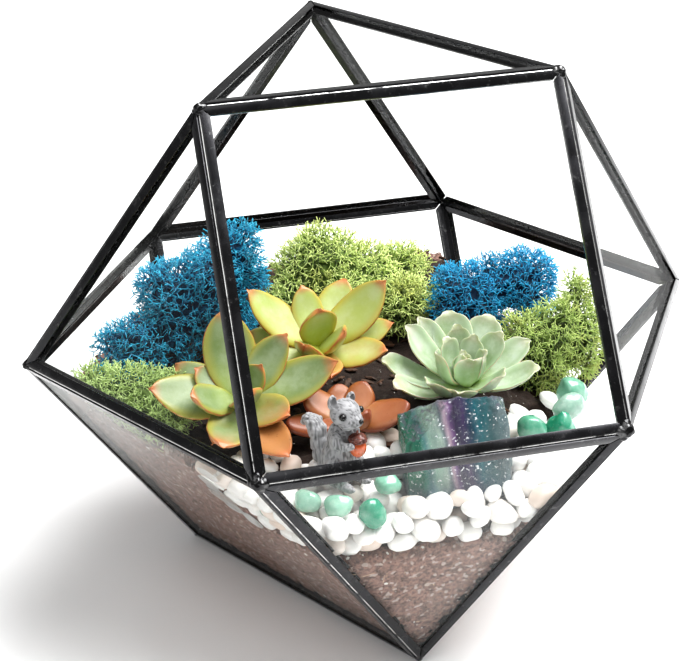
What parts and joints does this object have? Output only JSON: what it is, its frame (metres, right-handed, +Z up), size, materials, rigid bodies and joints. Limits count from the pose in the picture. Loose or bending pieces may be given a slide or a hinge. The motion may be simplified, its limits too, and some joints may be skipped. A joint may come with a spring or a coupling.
{
  "type": "glass plant terrarium",
  "caption": "Faceted glass case in dark metal came strips, open at its upper front, planted with succulents and reindeer moss over soil and white gravel.",
  "frame": {"origin": "on the surface the terrarium stands on, under the middle of the case's bounding box", "axes": "+Z up, -Y towards the open face, +X to the right when seen from the open face"},
  "size_m": [0.2194, 0.1912, 0.1806],
  "materials": {
    "blackened_came": "black patina over folded strip and solder, satin",
    "clear_glass": "clear float glass",
    "potting_soil": "loose brown potting mix of bark and peat, with perlite and straw fibres",
    "white_gravel": "polished white pebbles",
    "banded_fluorite": "polished banded fluorite, glossy",
    "grey_resin": "cast resin, painted grey, with a glossy acorn",
    "green_stone": "tumbled green aventurine, polished",
    "blue_moss": "preserved reindeer moss, dyed blue",
    "green_moss": "preserved reindeer moss, green",
    "golden_leaf": "waxy yellow-green leaf with orange-red edges",
    "red_leaf": "waxy red-orange leaf",
    "pale_green_leaf": "waxy pale green leaf with white bloom"
  },
  "bodies": {
    "root": {"came_back_left_to_back_right": "blackened_came", "came_back_left_to_foot_left": "blackened_came", "came_back_left_to_left": "blackened_came", "came_back_left_to_peak_back": "blackened_came", "came_back_right_to_foot_right": "blackened_came", "came_back_right_to_peak_back": "blackened_came", "came_back_right_to_right": "blackened_came", "came_foot_front_to_foot_left": "blackened_came", "came_foot_front_to_foot_right": "blackened_came", "came_foot_front_to_front_left": "blackened_came", "came_foot_front_to_front_right": "blackened_came", "came_foot_left_to_foot_right": "blackened_came", "came_foot_left_to_left": "blackened_came", "came_foot_right_to_right": "blackened_came", "came_front_left_to_front_right": "blackened_came", "came_front_left_to_left": "blackened_came", "came_front_left_to_peak_left": "blackened_came", "came_front_right_to_peak_right": "blackened_came", "came_front_right_to_right": "blackened_came", "came_left_to_peak_left": "blackened_came", "came_peak_back_to_peak_left": "blackened_came", "came_peak_back_to_peak_right": "blackened_came", "came_peak_left_to_peak_right": "blackened_came", "came_peak_right_to_right": "blackened_came", "echeveria": "pale_green_leaf", "fluorite_block": "banded_fluorite", "golden_sedum_centre": "golden_leaf", "golden_sedum_left": "golden_leaf", "green_stone_beside_fluorite": "green_stone", "green_stone_front_emerald": "green_stone", "green_stone_front_mint": "green_stone", "green_stone_front_pale": "green_stone", "green_stone_left_lower": "green_stone", "green_stone_left_upper": "green_stone", "green_stone_right_back": "green_stone", "green_stone_right_bright": "green_stone", "green_stone_right_emerald": "green_stone", "green_stone_right_pale": "green_stone", "pane_base": "clear_glass", "pane_cheek_left": "clear_glass", "pane_cheek_right": "clear_glass", "pane_front": "clear_glass", "pane_gable_back": "clear_glass", "pane_lower_back": "clear_glass", "pane_lower_left": "clear_glass", "pane_lower_right": "clear_glass", "pane_roof_left": "clear_glass", "pane_roof_right": "clear_glass", "pane_side_left": "clear_glass", "pane_side_right": "clear_glass", "pane_top": "clear_glass", "potting_soil": "potting_soil", "red_sedum": "red_leaf", "reindeer_moss_blue_left": "blue_moss", "reindeer_moss_blue_right": "blue_moss", "reindeer_moss_green_centre": "green_moss", "reindeer_moss_green_front_left": "green_moss", "reindeer_moss_green_right": "green_moss", "squirrel_figurine": "grey_resin", "white_gravel_bed": "white_gravel"}
  },
  "joints": []
}
